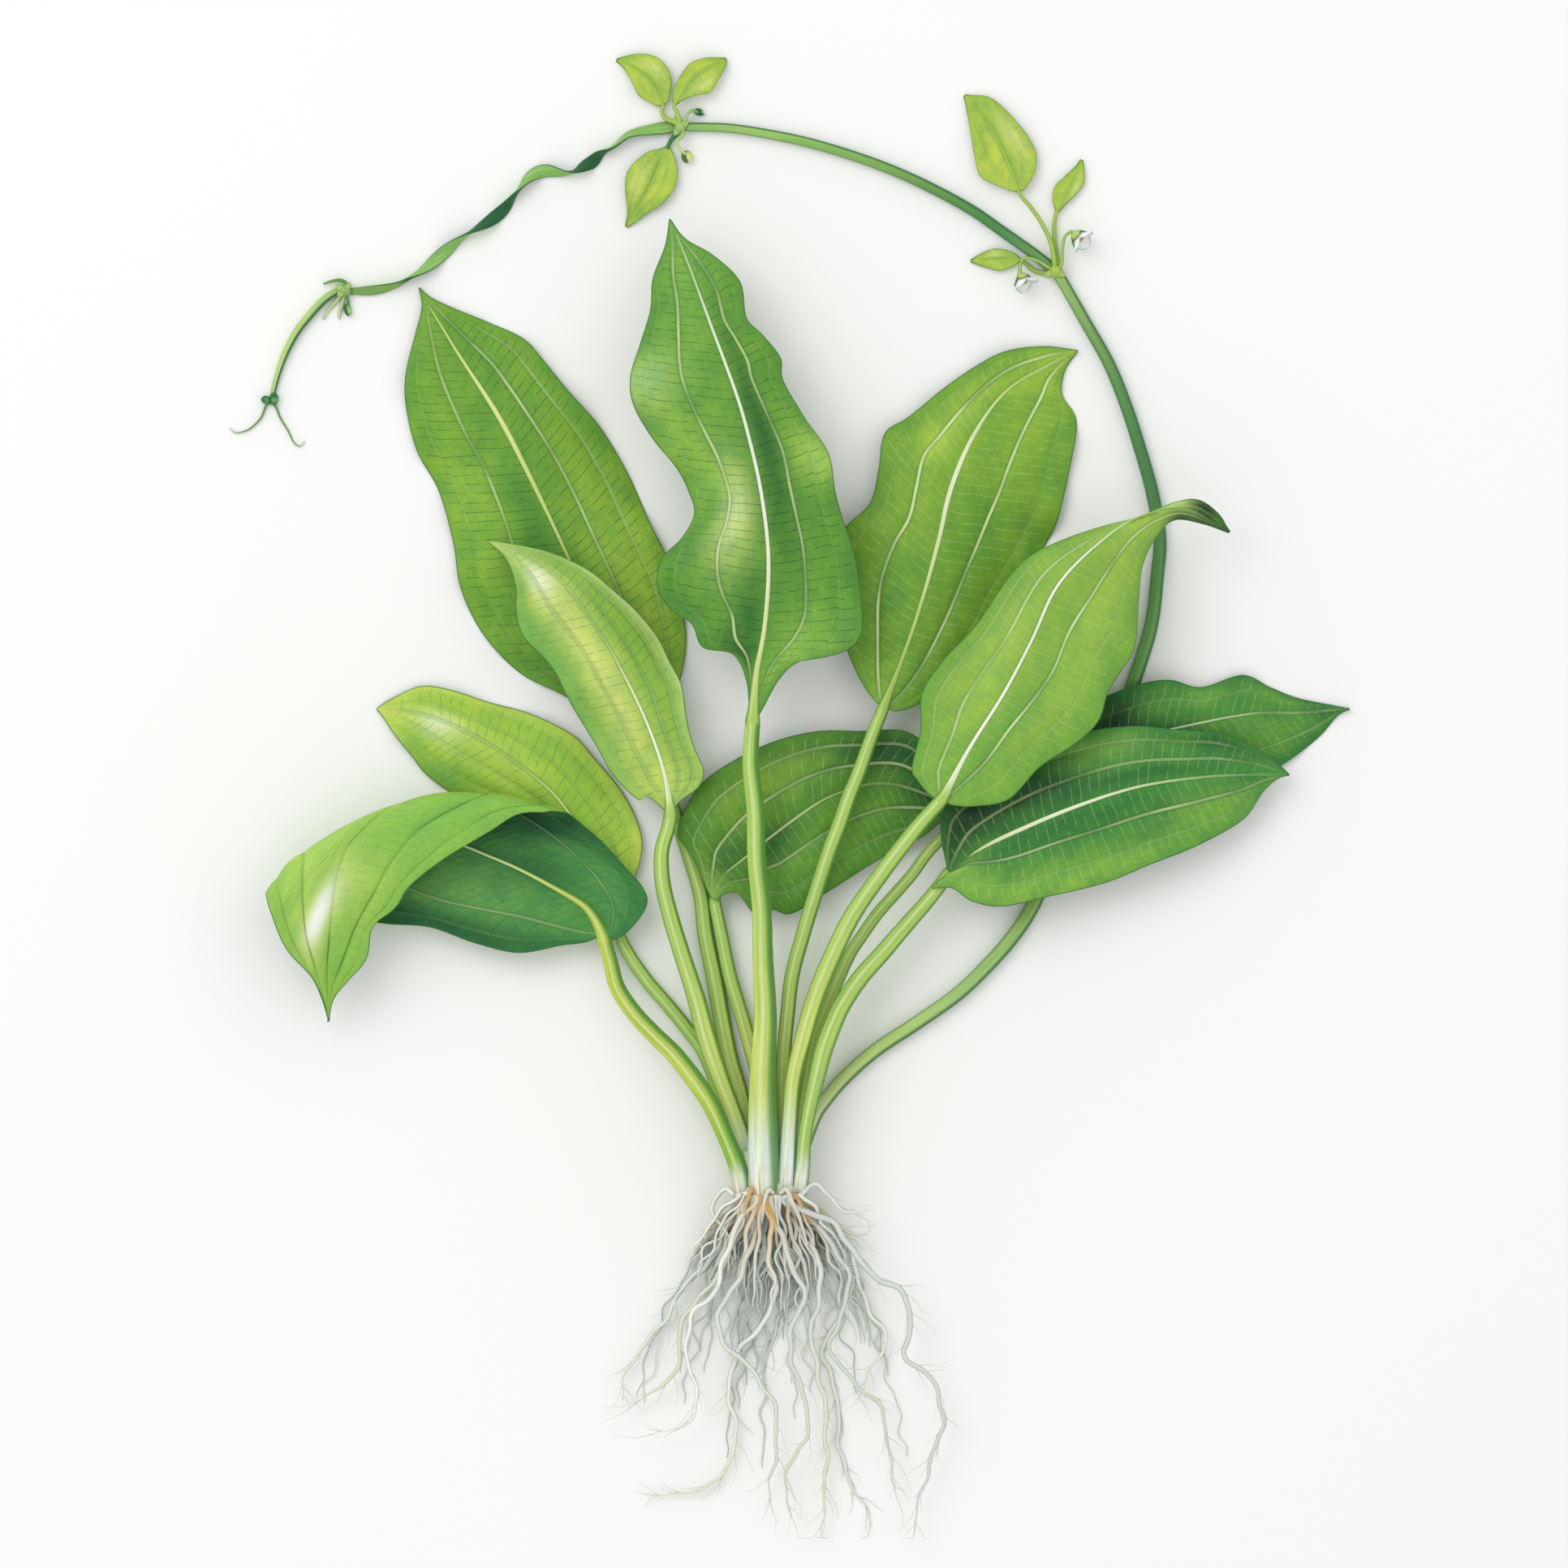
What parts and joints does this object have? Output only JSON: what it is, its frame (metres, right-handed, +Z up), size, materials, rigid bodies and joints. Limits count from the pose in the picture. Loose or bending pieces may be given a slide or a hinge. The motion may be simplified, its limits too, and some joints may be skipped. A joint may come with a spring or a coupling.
{
  "type": "amazon sword plant",
  "caption": "Bare-rooted rosette aquarium plant with broad lance-shaped leaves on long stalks, a root tuft and a long runner with plantlets and small flowers.",
  "frame": {"origin": "on the flat underside of the crown, where the plant rests", "axes": "+Z up from the surface it lies on, +Y from the roots towards the leaf tips, +X to the right as seen from above"},
  "size_m": [0.4603, 0.6097, 0.0439],
  "materials": {
    "leaf_mid_green": "satin leaf blade with pale sunken veins",
    "leaf_pale_green": "satin young leaf blade with yellow-green veins",
    "leaf_dark_green": "satin shaded leaf blade with pale veins",
    "stalk_green": "smooth ribbed stalk, paler towards the crown",
    "runner_green": "smooth green runner with a dark side",
    "plantlet_leaf": "satin yellow-green small leaf",
    "crown_white": "pale fibrous rootstock with ochre streaks",
    "root_white": "matte fine white root",
    "petal_white": "matte white petals with grey-blue lines",
    "bud_green": "satin green bud"
  },
  "bodies": {
    "root": {"crown": "crown_white", "leaf_stalk_01": "stalk_green", "leaf_blade_01": "leaf_mid_green", "leaf_stalk_02": "stalk_green", "leaf_blade_02": "leaf_mid_green", "leaf_stalk_03": "stalk_green", "leaf_blade_03": "leaf_mid_green", "leaf_stalk_04": "stalk_green", "leaf_blade_04": "leaf_pale_green", "leaf_stalk_05": "stalk_green", "leaf_blade_05": "leaf_pale_green", "leaf_stalk_06": "stalk_green", "leaf_blade_06": "leaf_pale_green", "leaf_stalk_07": "stalk_green", "leaf_blade_07": "leaf_mid_green", "leaf_stalk_08": "stalk_green", "leaf_blade_08": "leaf_dark_green", "leaf_stalk_09": "stalk_green", "leaf_blade_09": "leaf_dark_green", "leaf_stalk_10": "stalk_green", "leaf_blade_10": "leaf_dark_green", "runner_stem_1": "runner_green", "runner_stem_2": "runner_green", "runner_stem_3": "runner_green", "runner_stem_4": "runner_green", "plantlet_a_crown": "runner_green", "plantlet_b_crown": "runner_green", "runner_knot": "runner_green", "plantlet_a_leaf_1": "plantlet_leaf", "plantlet_a_leaf_2": "plantlet_leaf", "plantlet_a_leaf_3": "plantlet_leaf", "plantlet_b_leaf_1": "plantlet_leaf", "plantlet_b_leaf_2": "plantlet_leaf", "plantlet_b_leaf_3": "plantlet_leaf", "plantlet_a_flower_1": "petal_white", "plantlet_a_flower_2": "petal_white", "plantlet_b_bud_1": "bud_green", "plantlet_b_bud_2": "bud_green", "knot_bud": "bud_green", "knot_shoot": "runner_green", "knot_rootlet_1": "root_white", "knot_rootlet_2": "root_white", "tip_rootlet_1": "root_white", "tip_rootlet_2": "root_white", "root_01": "root_white", "root_02": "root_white", "root_03": "root_white", "root_04": "root_white", "root_05": "root_white", "root_06": "root_white", "root_07": "root_white", "root_08": "root_white", "root_09": "root_white", "root_10": "root_white", "root_11": "root_white", "root_12": "root_white", "root_13": "root_white", "root_14": "root_white", "root_15": "root_white", "root_16": "root_white"}
  },
  "joints": []
}
